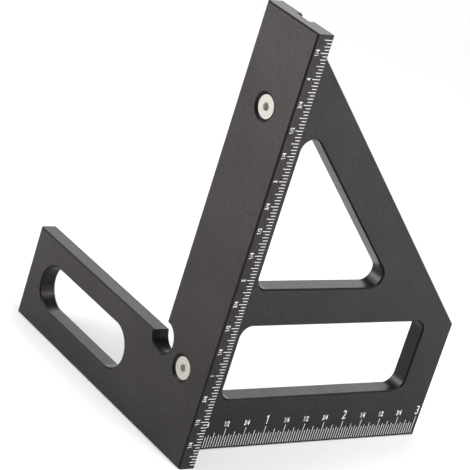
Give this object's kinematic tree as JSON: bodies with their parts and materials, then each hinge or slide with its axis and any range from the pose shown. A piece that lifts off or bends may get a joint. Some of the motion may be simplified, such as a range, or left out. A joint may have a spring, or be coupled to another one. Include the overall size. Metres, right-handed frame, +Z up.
{
  "type": "woodworking set square",
  "caption": "L-shaped fence plate with a windowed 45/90 degree blade plate seated square in it by countersunk screws, with inch scales for marking boards.",
  "frame": {"origin": "heel of the square: the fence's inner face, the blade's middle plane and the plane that the square stands on meet there, on the blade's base face", "axes": "+X along the blade, away from the fence; +Y along the arm, away from the bar; +Z up the fence"},
  "size_m": [0.0827, 0.079, 0.1127],
  "materials": {
    "black_anodised": "fine blasted and black anodised",
    "screw_steel": "turned, bright",
    "laser_mark": "scale marks and numbers burnt white into the anodised surface"
  },
  "bodies": {
    "root": {"fence": "black_anodised", "blade": "black_anodised", "upper_screw": "screw_steel", "lower_screw": "screw_steel"}
  },
  "joints": []
}
